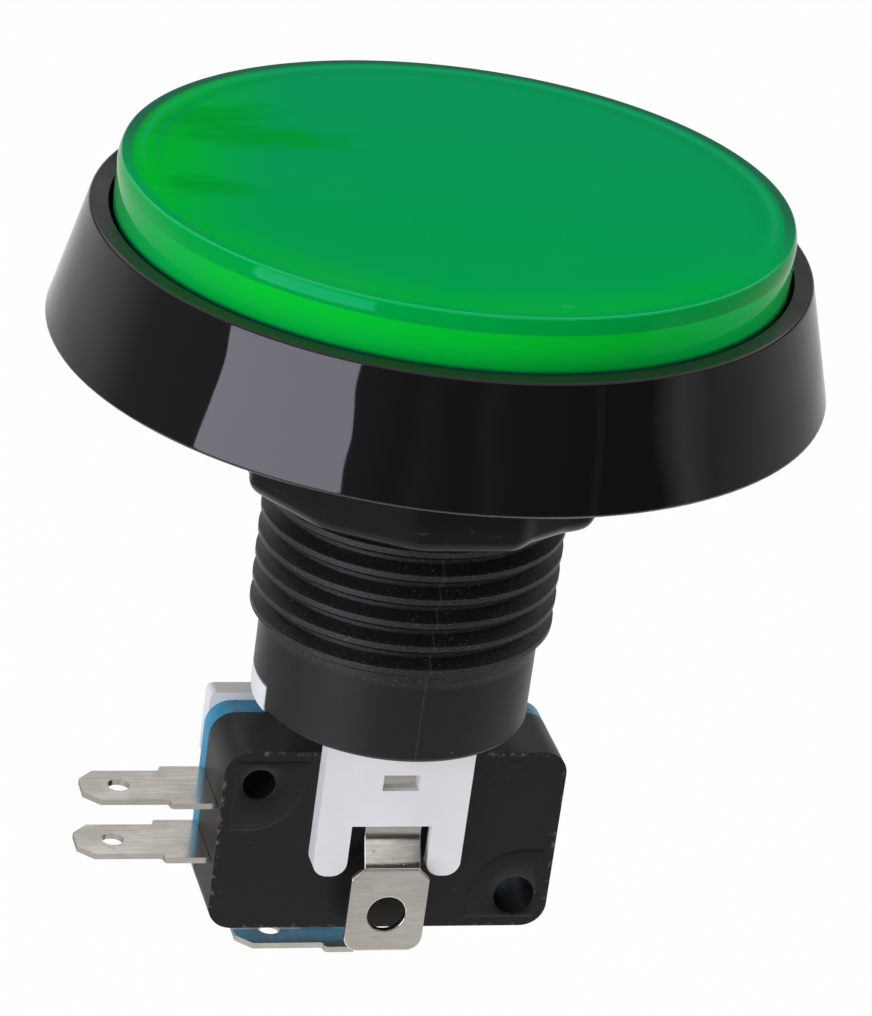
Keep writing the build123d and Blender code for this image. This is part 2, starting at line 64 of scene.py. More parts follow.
def addToScene(name, data):
    made = bpy.data.objects.new(name, data)
    bpy.context.scene.collection.objects.link(made)
    return made


# Camera at the photo's viewing angle

photoCamera = {
    "azimuth": -16.708, "elevation": 24.965, "roll": 8.053,  # degrees
    "distance": 354.496, "aim": (0.0, 0.0, -10.0), "slide": (1.187, -3.384),  # mm
    "lens": 162.72, "sensor": 36.0, "clip": (0.01, 50.0),  # clip in metres
}


def viewAxes(azimuth, elevation, roll):
    # right, up and back of a camera that looks at the axis from an azimuth and elevation, turned by a roll
    a, e, r = radians(azimuth), radians(elevation), radians(roll)
    back = Vector((sin(a) * cos(e), -cos(a) * cos(e), sin(e)))
    right = Vector((cos(a), sin(a), 0.0))
    up = back.cross(right)
    return right * cos(r) + up * sin(r), up * cos(r) - right * sin(r), back


def standAt(piece, place, right, up, back):
    turn = Matrix((right, up, back)).transposed().to_4x4()
    piece.matrix_world = Matrix.Translation(place * mm) @ turn


def placeCamera(spec):
    right, up, back = viewAxes(spec["azimuth"], spec["elevation"], spec["roll"])
    place = Vector(spec["aim"]) + back * spec["distance"] + right * spec["slide"][0] + up * spec["slide"][1]
    data = bpy.data.cameras.new("photoCamera")
    data.lens = spec["lens"]
    data.sensor_width = spec["sensor"]
    data.clip_start, data.clip_end = spec["clip"]
    camera = addToScene("photoCamera", data)
    standAt(camera, place, right, up, back)
    bpy.context.scene.camera = camera


placeCamera(photoCamera)
bpy.context.scene.view_settings.view_transform = "Standard"
print("camera set")


# Node helpers

def addNode(tree, kind, inputs=None, **settings):
    made = tree.nodes.new(kind)
    for key, value in settings.items():
        setattr(made, key, value)
    for key, value in (inputs or {}).items():
        if isinstance(value, bpy.types.NodeSocket):
            tree.links.new(value, made.inputs[key])
        else:
            made.inputs[key].default_value = value
    return made


def joinNode(kind, inputs, **settings):
    # a node in the tree that its inputs come from
    trees = [value.id_data for value in inputs.values() if isinstance(value, bpy.types.NodeSocket)]
    return addNode(trees[0], kind, inputs, **settings)


def calc(operation, first, second=0.0, clamp=False):
    made = joinNode("ShaderNodeMath", {0: first, 1: second}, operation=operation, use_clamp=clamp)
    return made.outputs[0]


def times(first, second):
    return calc("MULTIPLY", first, second)


def plus(first, second):
    return calc("ADD", first, second)


def minus(first, second):
    return calc("SUBTRACT", first, second)


def rise(value, limits, ends=(0.0, 1.0)):
    # smooth step as a value goes from the first limit to the second
    inputs = dict(enumerate((value, *limits, *ends)))
    return joinNode("ShaderNodeMapRange", inputs, interpolation_type="SMOOTHSTEP").outputs[0]


def fall(value, limits):
    return rise(value, limits, (1.0, 0.0))


def opaque(colour):
    # a plain colour gets its alpha, a socket is passed on
    return (*colour, 1.0) if isinstance(colour, tuple) else colour


def mixColour(factor, first, second):
    inputs = {0: factor, 6: opaque(first), 7: opaque(second)}
    return joinNode("ShaderNodeMix", inputs, data_type="RGBA").outputs[2]


def overlay(colour, mask, share, tone):
    # a share of another tone laid over a colour where the mask is 1
    return mixColour(times(mask, share), colour, tone)


def ramp(factor, stops):
    # colours along a value from 0 to 1
    made = joinNode("ShaderNodeValToRGB", {0: factor})
    elements = made.color_ramp.elements
    for element, (place, colour) in zip(elements, (stops[0], stops[-1])):
        element.position = place
        element.color = opaque(colour)
    for place, colour in stops[1:-1]:
        elements.new(place).color = opaque(colour)
    return made.outputs[0]


def noise(place, scale=1.0, detail=2.0, roughness=0.5):
    inputs = {"Vector": place, "Scale": scale, "Detail": detail, "Roughness": roughness}
    return joinNode("ShaderNodeTexNoise", inputs).outputs[0]


def vectorMath(operation, *given, output="Vector"):
    return joinNode("ShaderNodeVectorMath", dict(enumerate(given)), operation=operation).outputs[output]


def stretched(place, factors):
    return vectorMath("MULTIPLY", place, factors)


def lengthOf(vector):
    return vectorMath("LENGTH", vector, output="Value")


def along(place, way):
    return vectorMath("DOT_PRODUCT", place, way, output="Value")


# Effects shared by several finishes, as node groups that take a place in millimetres

def startGroup(name, inputs, outputs):
    group = bpy.data.node_groups.new(name, "ShaderNodeTree")
    for label, kind, value in inputs:
        socket = group.interface.new_socket(name=label, in_out="INPUT", socket_type=kind)
        if value is not None:
            socket.default_value = value
    for label in outputs:
        group.interface.new_socket(name=label, in_out="OUTPUT", socket_type="NodeSocketFloat")
    return group, group.nodes.new("NodeGroupInput").outputs, group.nodes.new("NodeGroupOutput").inputs


placeInput = ("Place", "NodeSocketVector", None)
stretchInput = ("Stretch", "NodeSocketVector", (1.0, 1.0, 1.0))


def mouldGrainGroup():
    # Height is a fine skin, Tone a slow drift from 0 to 1
    inputs = [placeInput, ("Fineness", "NodeSocketFloat", 6.0), ("Drift", "NodeSocketFloat", 0.12)]
    group, given, out = startGroup("mouldGrain", inputs, ["Height", "Tone"])
    fine = noise(given["Place"], given["Fineness"], detail=4.0, roughness=0.62)
    slow = noise(given["Place"], given["Drift"], detail=3.0)
    group.links.new(fine, out["Height"])
    group.links.new(rise(slow, (0.3, 0.7)), out["Tone"])
    return group


def dustSpecksGroup():
    # Mask is small round specks; Share is how many cells hold one, Size its radius in cells
    inputs = [placeInput, ("Spread", "NodeSocketFloat", 0.5), ("Share", "NodeSocketFloat", 0.06),
              ("Size", "NodeSocketFloat", 0.1)]
    group, given, out = startGroup("dustSpecks", inputs, ["Mask"])
    cells = joinNode("ShaderNodeTexVoronoi", {"Vector": given["Place"], "Scale": given["Spread"]})
    split = joinNode("ShaderNodeSeparateColor", {0: cells.outputs["Color"]})
    chosen = calc("LESS_THAN", split.outputs[0], given["Share"])
    radius = times(split.outputs[1], given["Size"])
    spot = calc("LESS_THAN", cells.outputs["Distance"], radius)
    group.links.new(times(chosen, spot), out["Mask"])
    return group


def handlingScuffsGroup():
    # Mask is thin broken strokes along the direction with the smallest stretch, in patches
    inputs = [placeInput, stretchInput, ("Limit", "NodeSocketFloat", 0.66)]
    group, given, out = startGroup("handlingScuffs", inputs, ["Mask"])
    drawn = stretched(given["Place"], given["Stretch"])
    strokes = noise(drawn, detail=3.0, roughness=0.6)
    cut = rise(strokes, (given["Limit"], plus(given["Limit"], 0.07)))
    patches = rise(noise(given["Place"], 0.21, detail=1.0), (0.42, 0.62))
    group.links.new(times(cut, patches), out["Mask"])
    return group


def rolledMetalGroup():
    # Tone and Height are fine lines left by rolling, along the direction with the smallest stretch
    group, given, out = startGroup("rolledMetal", [placeInput, stretchInput], ["Tone", "Height"])
    drawn = stretched(given["Place"], given["Stretch"])
    lines = noise(drawn, detail=4.0, roughness=0.7)
    clouds = noise(given["Place"], 0.33, detail=3.0)
    blended = plus(times(lines, 0.45), times(clouds, 0.55))
    group.links.new(rise(blended, (0.32, 0.68)), out["Tone"])
    group.links.new(lines, out["Height"])
    return group


mouldGrain = mouldGrainGroup()
dustSpecks = dustSpecksGroup()
handlingScuffs = handlingScuffsGroup()
rolledMetal = rolledMetalGroup()
print("shared effects made")


def useGroup(group, place, **given):
    # inputs are given by their names in small letters
    inputs = {"Place": place, **{key.capitalize(): value for key, value in given.items()}}
    return joinNode("ShaderNodeGroup", inputs, node_tree=group).outputs


def startFinish(name):
    # a material with its Principled shader, the place in millimetres and its parts
    material = bpy.data.materials.new(name)
    material.use_nodes = True
    tree = material.node_tree
    shader = tree.nodes["Principled BSDF"]
    coordinates = addNode(tree, "ShaderNodeTexCoord").outputs["Object"]
    scaled = joinNode("ShaderNodeVectorMath", {0: coordinates, "Scale": 1.0 / mm}, operation="SCALE")
    place = scaled.outputs[0]
    split = joinNode("ShaderNodeSeparateXYZ", {0: place})
    return material, shader, place, split.outputs


def onPlan(place):
    return stretched(place, (1.0, 1.0, 0.0))


def bumpInto(shader, height, depth=1.0, strength=1.0):
    # depth in millimetres for a height of 1
    made = joinNode("ShaderNodeBump", {"Strength": strength, "Distance": depth * mm, "Height": height})
    shader.id_data.links.new(made.outputs[0], shader.inputs["Normal"])


def clouded(grain, spec):
    # roughness that drifts with the grain's slow tone
    return plus(times(grain["Tone"], spec["cloudRough"]), spec["rough"])


def feed(shader, colour, roughness):
    links = shader.id_data.links
    links.new(colour, shader.inputs["Base Color"])
    links.new(roughness, shader.inputs["Roughness"])


def setConstants(shader, **values):
    names = {"index": "IOR", "gloss": "Specular IOR Level", "tint": "Specular Tint", "metal": "Metallic",
             "clear": "Transmission Weight"}
    for key, value in values.items():
        shader.inputs[names[key]].default_value = opaque(value)


# Green lens: clear cup over a white disc, its look painted opaque: even top, bright wall, upper band in
# painted shade

greenLens = {
    # glow is painted light, the patches at the left painted reflections; outline, band, wallLow and foot
    # painted shade; wallLeft and wallRight painted shade and light
    "front": (0.0, 0.495, 0.105), "back": (0.004, 0.460, 0.150), "glow": (0.0, 0.640, 0.026),
    "paintedReflection": (0.0, 0.455, 0.036), "outline": (0.030, 0.180, 0.100), "band": (0.0, 0.320, 0.045),
    "wall": (0.001, 0.480, 0.024), "wallLow": (0.001, 0.380, 0.036), "foot": (0.002, 0.100, 0.050),
    "wallLeft": (0.001, 0.360, 0.060), "wallRight": (0.0, 0.540, 0.085), "speck": (0.35, 0.65, 0.45),
    "leftWay": (-0.958, 0.287, 0.0), "backWay": (0.287, 0.958, 0.0),  # the photo's left and back
    # pairs of limits in mm, along a way, a radius or a height, between which one tone gives way to the next
    "backFade": (-22.0, 20.0), "farFade": (-9.0, 4.0), "nearFade": (-9.0, 16.0), "nearLean": 0.45,
    "glowRise": (19.5, 24.5), "leftRise": (13.5, 23.0), "glowEnd": (24.3, 25.0),
    "outlineRise": (24.3, 24.8), "wallRise": (9.6, 11.9), "footFall": (9.35, 9.7),
    "leftEnd": (12.0, 24.0), "rightEnd": (-24.0, -12.0),
    "bandEdge": (-1.31, -1.17), "topEdge": (-0.16, -0.04),  # from the lens's top
    # shares of each tone
    "nearGlow": 0.50, "leftGlow": 0.90, "reflectionShare": 0.8, "outlineShare": 0.9, "speckShare": 0.35,
    # rings inside the far edge, a painted view of the cup's wall through the top: colour, rising and falling
    # radii, share
    "rings": [((0.004, 0.400, 0.110), (21.9, 22.7), (23.0, 23.5), 0.5),
              ((0.020, 0.520, 0.190), (23.5, 23.85), (23.95, 24.3), 0.7)],
    # painted reflections at the left: centre and half sizes in mm, turn in degrees
    "paintedReflections": [((-16.8, 11.8), (7.0, 2.6), 13.0), ((-14.2, 7.9), (9.4, 2.9), -4.0),
               ((-19.9, -2.7), (4.4, 2.2), -2.0)],
    "reflectionGrain": (0.10, 0.42, 0.4), "reflectionBreak": (0.22, 0.5),
    "raggedGrain": (0.22, 0.55, 0.5), "ragged": 1.3, "patchFade": (0.30, 1.15),
    "rough": 0.03, "cloudRough": 0.03, "scuffRough": 0.12, "skin": 0.004,
    "index": 1.34, "tint": (0.11, 0.90, 0.85),
}


def softPatch(place, spec, centre, half, turn):
    # 1 inside an ellipse on the plan, fading to a ragged edge
    inside = joinNode("ShaderNodeMapping", {
        "Vector": onPlan(place), "Location": (*centre, 0.0),
        "Rotation": (0.0, 0.0, radians(turn)), "Scale": (*half, 1.0),
    }, vector_type="TEXTURE").outputs[0]
    grain = minus(noise(stretched(place, spec["raggedGrain"])), 0.5)
    away = plus(lengthOf(inside), times(grain, spec["ragged"]))
    return fall(away, spec["patchFade"])


def lensTopColour(place, radius, leftward, backward, spec):
    # bluer to the back, with a painted glow of light inside the near edge and at the left, and soft painted
    # reflections at the left
    top = mixColour(rise(backward, spec["backFade"]), spec["front"], spec["back"])
    nearness = minus(times(leftward, spec["nearLean"]), backward)
    nearGlow = times(rise(radius, spec["glowRise"]), rise(nearness, spec["nearFade"]))
    nearGlow = times(nearGlow, spec["nearGlow"])
    leftGlow = times(rise(leftward, spec["leftRise"]), spec["leftGlow"])
    glow = times(calc("MAXIMUM", nearGlow, leftGlow), fall(radius, spec["glowEnd"]))
    top = mixColour(glow, top, spec["glow"])
    broken = rise(noise(stretched(place, spec["reflectionGrain"])), spec["reflectionBreak"])
    broken = times(broken, spec["reflectionShare"])
    for centre, half, turn in spec["paintedReflections"]:
        paintedReflection = softPatch(place, spec, centre, half, turn)
        top = overlay(top, paintedReflection, broken, spec["paintedReflection"])
    # the cup's wall, painted as seen through the top inside the far edge, with a dark outline of painted
    # shade
    farSide = rise(backward, spec["farFade"])
    for colour, inner, outer, share in spec["rings"]:
        ring = times(rise(radius, inner), fall(radius, outer))
        top = overlay(top, times(ring, farSide), share, colour)
    outline = times(rise(radius, spec["outlineRise"]), farSide)
    return overlay(top, outline, spec["outlineShare"], spec["outline"])


def lensWallColour(leftward, height, fromTop, spec):
    # painted: a shaded foot, bright middle fading downwards, a darker left end, a lighter right, the shaded
    # band under the edge
    wall = mixColour(rise(height, spec["wallRise"]), spec["wallLow"], spec["wall"])
    wall = mixColour(rise(leftward, spec["leftEnd"]), wall, spec["wallLeft"])
    wall = mixColour(fall(leftward, spec["rightEnd"]), wall, spec["wallRight"])
    wall = mixColour(fall(height, spec["footFall"]), wall, spec["foot"])
    return mixColour(rise(fromTop, spec["bandEdge"]), wall, spec["band"])


def makeGreenLens(spec):
    material, shader, place, axes = startFinish("greenLens")
    radius = lengthOf(onPlan(place))
    leftward = along(place, spec["leftWay"])
    backward = along(place, spec["backWay"])
    fromTop = minus(axes[2], float(nodeBox("lens_cap")[1][2]))
    top = lensTopColour(place, radius, leftward, backward, spec)
    wall = lensWallColour(leftward, axes[2], fromTop, spec)
    colour = mixColour(rise(fromTop, spec["topEdge"]), wall, top)
    scuffs = useGroup(handlingScuffs, place, stretch=(0.3, 2.2, 1.0), limit=0.66)
    specks = useGroup(dustSpecks, place, spread=0.30, share=0.10, size=0.045)
    colour = overlay(colour, specks["Mask"], spec["speckShare"], spec["speck"])
    grain = useGroup(mouldGrain, place, fineness=0.5, drift=0.09)
    worn = times(scuffs["Mask"], spec["scuffRough"])
    feed(shader, colour, plus(clouded(grain, spec), worn))
    setConstants(shader, index=spec["index"], tint=spec["tint"])
    bumpInto(shader, grain["Height"], spec["skin"])
    return material


# Black mouldings: polished bezel with a slow wave in it, satin neck with a moulding seam, satin nut

blackMoulding = {
    # the rim tone is a painted sheen on the bezel's flat top rim
    "bezel": (0.0042, 0.0042, 0.0046), "rim": (0.028, 0.028, 0.029), "neck": (0.0038, 0.0038, 0.0040),
    # glint is a painted highlight for the sparkling grains on the thread
    "worn": (0.075, 0.075, 0.078), "glint": (0.16, 0.16, 0.165), "speck": (0.25, 0.25, 0.25),
    # pairs of limits in mm: heights, distances from the seam and radii
    "neckTop": (-0.2, 0.35), "rimEdge": (9.38, 9.44), "threadEnd": (-24.0, -23.3),
    "seamEdge": (0.04, 0.10), "crestEdge": (11.58, 11.84),
    "seamAngle": -92.0, "neckRadius": 10.95,  # degrees, mm
    "sparkle": 6.0, "glintRise": (0.60, 0.72),  # grains to a millimetre, and how bright a grain has to be
    "rimShare": 0.8, "scuffShare": 0.15, "seamShare": 0.2, "crestShare": 0.05, "glintShare": 0.7,
    "speckShare": 0.5, "rimDull": 0.6, "scuffRough": 0.2,
    "polish": {"rough": 0.03, "cloudRough": 0.02}, "satin": {"rough": 0.30, "cloudRough": 0.08},
    # heights in mm
    "skin": 0.010, "coarse": 0.045, "seamRise": 0.015, "wave": 0.26, "waveStretch": (0.10, 0.10, 0.17),
}


def housingHeight(place, onNeck, onThread, seam, grain, sparkle, spec):
    # skin of the neck, coarser on the thread, the seam, and the slow wave of the bezel
    skin = times(grain["Height"], times(onNeck, spec["skin"]))
    coarse = times(sparkle, times(onThread, spec["coarse"]))
    wave = noise(stretched(place, spec["waveStretch"]), detail=0.3)
    wave = times(wave, times(minus(1.0, onNeck), spec["wave"]))
    raised = plus(wave, times(seam, spec["seamRise"]))
    return plus(plus(skin, coarse), raised)


def makeBlackHousing(spec):
    material, shader, place, axes = startFinish("blackHousing")
    radius = lengthOf(onPlan(place))
    onNeck = fall(axes[2], spec["neckTop"])
    onRim = rise(axes[2], spec["rimEdge"])
    grain = useGroup(mouldGrain, place, fineness=5.0, drift=0.1)
    scuffs = useGroup(handlingScuffs, place, stretch=(0.5, 0.5, 2.4), limit=0.67)
    specks = useGroup(dustSpecks, place, spread=0.40, share=0.16, size=0.05)
    fromSeam = minus(calc("ARCTAN2", axes[1], axes[0]), radians(spec["seamAngle"]))
    fromSeam = calc("ABSOLUTE", times(fromSeam, spec["neckRadius"]))
    seam = times(fall(fromSeam, spec["seamEdge"]), onNeck)
    # the thread has a coarse, sparkling skin, most of all on its crests and where it runs out on the collar
    # lighter crests are painted highlight and wear, and the bright grains are painted glints
    onThread = times(rise(axes[2], spec["threadEnd"]), onNeck)
    crest = times(rise(radius, spec["crestEdge"]), onThread)
    sparkle = noise(place, spec["sparkle"], detail=3.0, roughness=0.7)
    glints = times(onThread, rise(sparkle, spec["glintRise"]))
    neckScuffs = times(scuffs["Mask"], onNeck)
    colour = mixColour(onNeck, spec["bezel"], spec["neck"])
    # on the rim the lighter tone is a painted sheen
    layers = [
        (onRim, "rimShare", "rim"), (neckScuffs, "scuffShare", "worn"), (seam, "seamShare", "worn"),
        (crest, "crestShare", "worn"), (glints, "glintShare", "glint"),
        (specks["Mask"], "speckShare", "speck"),
    ]
    for mask, share, tone in layers:
        colour = overlay(colour, mask, spec[share], spec[tone])
    polish, satin = [clouded(grain, spec[skin]) for skin in ("polish", "satin")]
    dull = calc("MAXIMUM", onNeck, times(onRim, spec["rimDull"]))
    rough = joinNode("ShaderNodeMix", {0: dull, 2: polish, 3: satin}).outputs[0]
    feed(shader, colour, plus(rough, times(neckScuffs, spec["scuffRough"])))
    bumpInto(shader, housingHeight(place, onNeck, onThread, seam, grain, sparkle, spec))
    return material


blackNut = {
    "face": (0.0040, 0.0040, 0.0042), "worn": (0.075, 0.075, 0.078), "scuffShare": 0.25,
    "rough": 0.20, "cloudRough": 0.1, "gloss": 0.25, "skin": 0.010,
}


def makeBlackNut(spec):
    material, shader, place, _ = startFinish("blackNut")
    grain = useGroup(mouldGrain, place, fineness=4.0, drift=0.14)
    scuffs = useGroup(handlingScuffs, place, stretch=(0.6, 0.6, 2.0), limit=0.64)
    colour = overlay(spec["face"], scuffs["Mask"], spec["scuffShare"], spec["worn"])
    feed(shader, colour, clouded(grain, spec))
    setConstants(shader, gloss=spec["gloss"])
    bumpInto(shader, times(grain["Height"], spec["skin"]))
    return material


# Switch case: satin black with pale nicks along its front edges

caseLow, caseHigh = nodeBox("switch_base")
switchCase = {
    "face": (0.0062, 0.0060, 0.0060), "worn": (0.16, 0.155, 0.15),
    "edgeFall": (0.05, 0.45), "nickGrain": 1.6, "nickRise": (0.52, 0.66),  # mm, grains to a mm, limits
    "scuffShare": 0.10, "nickShare": 0.6, "speckShare": 0.4,
    "rough": 0.36, "cloudRough": 0.1, "nickRough": 0.2, "gloss": 0.36, "skin": 0.012,
}


def makeSwitchCase(spec):
    material, shader, place, axes = startFinish("switchCase")
    grain = useGroup(mouldGrain, place, fineness=5.5, drift=0.2)
    scuffs = useGroup(handlingScuffs, place, stretch=(0.7, 1.0, 2.6), limit=0.63)
    specks = useGroup(dustSpecks, place, spread=0.9, share=0.07, size=0.08)
    low, high = caseLow.tolist(), caseHigh.tolist()
    insets = [calc("MINIMUM", minus(axes[k], low[k]), minus(high[k], axes[k])) for k in (0, 2)]
    fromFront = minus(axes[1], low[1])
    edge = fall(plus(calc("MINIMUM", *insets), fromFront), spec["edgeFall"])
    nicks = rise(noise(place, spec["nickGrain"], detail=3.0, roughness=0.65), spec["nickRise"])
    wear = times(edge, nicks)
    colour = spec["face"]
    for mask, share in [(scuffs["Mask"], "scuffShare"), (wear, "nickShare"), (specks["Mask"], "speckShare")]:
        colour = overlay(colour, mask, spec[share], spec["worn"])
    rough = clouded(grain, spec)
    feed(shader, colour, plus(rough, times(wear, spec["nickRough"])))
    setConstants(shader, gloss=spec["gloss"])
    bumpInto(shader, times(plus(grain["Height"], wear), spec["skin"]))
    return material


# Blue lid of the switch, and the white, clear and metal finishes

blueLid = {
    "thin": (0.060, 0.560, 0.890), "thick": (0.006, 0.340, 0.650), "clear": 0.45, "index": 1.45,
    "depthRise": (2.3, 4.3), "depthShare": 0.5, "cloud": 0.35, "rough": 0.18,  # places along +Y in mm
}


def makeBlueLid(spec):
    material, shader, place, axes = startFinish("blueLid")
    grain = useGroup(mouldGrain, place, fineness=2.0, drift=0.25)
    depth = times(rise(axes[1], spec["depthRise"]), spec["depthShare"])
    cloud = times(grain["Tone"], spec["cloud"])
    colour = mixColour(plus(depth, cloud), spec["thick"], spec["thin"])
    feed(shader, colour, plus(cloud, spec["rough"]))
    setConstants(shader, clear=spec["clear"], index=spec["index"])
    bumpInto(shader, grain["Height"], depth=0.02, strength=0.25)
    return material


whiteNylon = {"clean": (0.80, 0.79, 0.785), "cloudy": (0.735, 0.722, 0.72), "rough": 0.34, "fineness": 5.0}
whiteDisc = {"clean": (0.80, 0.81, 0.79), "cloudy": (0.73, 0.74, 0.715), "rough": 0.45, "fineness": 8.0}
lampNylon = {"clean": (0.70, 0.69, 0.65), "cloudy": (0.60, 0.585, 0.54), "rough": 0.36, "fineness": 5.0}
whiteWear = {"dirt": (0.40, 0.38, 0.36), "share": 0.12, "cloudRough": 0.1}


def makeWhite(name, spec):
    material, shader, place, _ = startFinish(name)
    grain = useGroup(mouldGrain, place, fineness=spec["fineness"], drift=0.16)
    scuffs = useGroup(handlingScuffs, place, stretch=(1.0, 1.0, 2.8), limit=0.66)
    colour = mixColour(grain["Tone"], spec["clean"], spec["cloudy"])
    colour = overlay(colour, scuffs["Mask"], whiteWear["share"], whiteWear["dirt"])
    feed(shader, colour, clouded(grain, {**whiteWear, **spec}))
    bumpInto(shader, grain["Height"], depth=0.02, strength=0.3)
    return material


nickelPlate = {
    "bright": (0.75, 0.71, 0.66), "dull": (0.64, 0.595, 0.535), "stretch": (0.35, 3.2, 3.2), "rough": 0.14,
}
springWire = {
    "bright": (0.62, 0.62, 0.62), "dull": (0.42, 0.42, 0.425), "stretch": (1.5, 1.5, 6.0), "rough": 0.26,
}
bronzeStrip = {
    "bright": (0.66, 0.44, 0.22), "dull": (0.48, 0.30, 0.15), "stretch": (0.4, 4.0, 2.0), "rough": 0.24,
}
silverFace = {
    "bright": (0.74, 0.735, 0.71), "dull": (0.54, 0.53, 0.50), "stretch": (2.0, 2.0, 2.0), "rough": 0.22,
}
metalWear = {"share": 0.3, "scuffRough": 0.12, "dullRough": 0.09}


def makeMetal(name, spec):
    material, shader, place, _ = startFinish(name)
    rolled = useGroup(rolledMetal, place, stretch=spec["stretch"])
    scuffs = useGroup(handlingScuffs, place, stretch=(1.4, 1.1, 3.5), limit=0.62)
    colour = mixColour(rolled["Tone"], spec["dull"], spec["bright"])
    colour = overlay(colour, scuffs["Mask"], metalWear["share"], spec["dull"])
    dullest = spec["rough"] + metalWear["dullRough"]
    rough = minus(dullest, times(rolled["Tone"], metalWear["dullRough"]))
    feed(shader, colour, plus(rough, times(scuffs["Mask"], metalWear["scuffRough"])))
    setConstants(shader, metal=1.0)
    bumpInto(shader, rolled["Height"], depth=0.006, strength=0.4)
    return material


lampClear = {
    "clean": (0.93, 0.96, 0.95), "cloudy": (0.86, 0.91, 0.91),
    "rough": 0.04, "cloudRough": 0.05, "index": 1.47,
}


def makeLampClear(spec):
    material, shader, place, _ = startFinish("lampClear")
    grain = useGroup(mouldGrain, place, fineness=1.4, drift=0.3)
    colour = mixColour(grain["Tone"], spec["clean"], spec["cloudy"])
    feed(shader, colour, clouded(grain, spec))
    setConstants(shader, clear=1.0, index=spec["index"])
    bumpInto(shader, grain["Height"], depth=0.01, strength=0.3)
    return material


finishes = {
    "green_lens": makeGreenLens(greenLens),
    "white_diffuser": makeWhite("whiteDisc", whiteDisc),
    "white_plastic": makeWhite("whiteNylon", whiteNylon),
    "spring_steel": makeMetal("springWire", springWire),
    "lamp_plastic": makeWhite("lampNylon", lampNylon),
    "lamp_clear": makeLampClear(lampClear),
    "nickel_plated": makeMetal("nickelPlate", nickelPlate),
    "black_case": makeSwitchCase(switchCase),
    "blue_cover": makeBlueLid(blueLid),
    "bronze_strip": makeMetal("bronzeStrip", bronzeStrip),
    "silver_contact": makeMetal("silverFace", silverFace),
    "black_plastic": makeBlackNut(blackNut),
}
housingFinish = makeBlackHousing(blackMoulding)


def dress(piece, material):
    piece.data.materials.clear()
    piece.data.materials.append(material)


for subpart in frame["record"]["subparts"]:
    name = subpart["node"]
    dress(nodes[name], housingFinish if name == "housing" else finishes[subpart["material_slot"]])
print("finishes on", len(nodes), "pieces")


# New pieces: surfaces on a grid

mergeGap = 0.0001  # mm between points that are one point
noWay = 1e-6  # a direction this small never meets a side
farAway = 99.0  # mm, past every side


def gridMesh(name, points, wrapRows=False, wrapColumns=False):
    # points is rows x columns x 3 in mm; each quad joins four neighbours
    rows, columns = points.shape[:2]
    index = np.arange(rows * columns).reshape(rows, columns)
    if wrapRows:
        index = np.vstack([index, index[:1]])
    if wrapColumns:
        index = np.hstack([index, index[:, :1]])
    quads = np.stack([index[:-1, :-1], index[1:, :-1], index[1:, 1:], index[:-1, 1:]], axis=-1)
    quads = quads.reshape(-1, 4)
    corners = points.reshape(-1, 3)[quads]
    facing = np.cross(corners[:, 2] - corners[:, 0], corners[:, 3] - corners[:, 1])
    outward = corners.mean(axis=1) - corners.mean(axis=(0, 1))
    if wrapColumns and np.sum(facing * outward) < 0.0:
        quads = quads[:, ::-1]  # faces point out of a closed piece
    mesh = bpy.data.meshes.new(name)
    mesh.from_pydata((points.reshape(-1, 3) * mm).tolist(), [], quads.tolist())
    return mesh


def gridPiece(name, points, body, slotName, wrapRows=False, replaced=()):
    # a closed surface; points that meet at a pole or an end are merged
    mesh = gridMesh(name, points, wrapRows, wrapColumns=True)
    shell = bmesh.new()
    shell.from_mesh(mesh)
    bmesh.ops.remove_doubles(shell, verts=shell.verts, dist=mergeGap * mm)
    shell.to_mesh(mesh)
    shell.free()
    mesh.polygons.foreach_set("use_smooth", np.ones(len(mesh.polygons), dtype=bool))
    mesh.update()
    piece = addToScene(name, mesh)
    dress(piece, finishes[slotName])
    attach(piece, body)
    if replaced:
        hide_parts(*replaced)
    return piece


def roundTurn(count):
    return np.linspace(0.0, 2.0 * pi, count, endpoint=False)


def arc(centre, radius, start, end, steps):
    # points r, z on a circle, by angle from the horizontal in degrees
    angle = np.radians(np.linspace(start, end, steps))
    return np.stack([centre[0] + radius * np.cos(angle), centre[1] + radius * np.sin(angle)], axis=-1)


def run(start, end, steps):
    # evenly spaced points r, z on a straight line
    share = np.linspace(0.0, 1.0, steps)[:, None]
    return np.array(start) * (1.0 - share) + np.array(end) * share


def turned(profile, around, reach=0.0):
    # r, z turned about the axis: x = r cos t, y = r sin t, z; a third column is the share of reach r gains
    t = roundTurn(around)
    radius = np.broadcast_to(profile[:, :1], (len(profile), around))
    if profile.shape[1] > 2:
        radius = radius + profile[:, 2:3] * reach
    height = np.broadcast_to(profile[:, 1:2], radius.shape)
    return np.stack([radius * np.cos(t), radius * np.sin(t), height], axis=-1)


def capped(points):
    # one more row at each end, drawn together to a point
    ends = [np.broadcast_to(points[k].mean(axis=0), points[k].shape) for k in (0, -1)]
    return np.concatenate([ends[0][None], points, ends[1][None]])


def reachTo(limit, way):
    # how far a ray goes before its share along one direction reaches a straight side
    return np.where(way > noWay, limit / np.maximum(way, noWay), farAway)


def roundCorner(straight, wayX, wayZ, centreX, centreZ, radius):
    # rays that leave by the lower right corner stop on its circle
    ahead = wayX * centreX + wayZ * centreZ
    onCircle = ahead + np.sqrt(np.maximum(ahead ** 2 - centreX ** 2 - centreZ ** 2 + radius ** 2, 0.0))
    inCorner = (onCircle * wayX > centreX) & (onCircle * wayZ < centreZ)
    return np.where(inCorner, np.minimum(onCircle, straight), straight)


lensShell = {
    "wall": 1.5, "edge": 0.17, "lean": 25.0, "round": 0.95,  # edge radius; lean and height of its band
    "beadDepth": 0.35, "beadTop": 7.15, "beadSlope": 0.4, "cut": 0.1, "around": 360,
    "beside": 0.06,  # a row beside the edge keeps the top flat
}


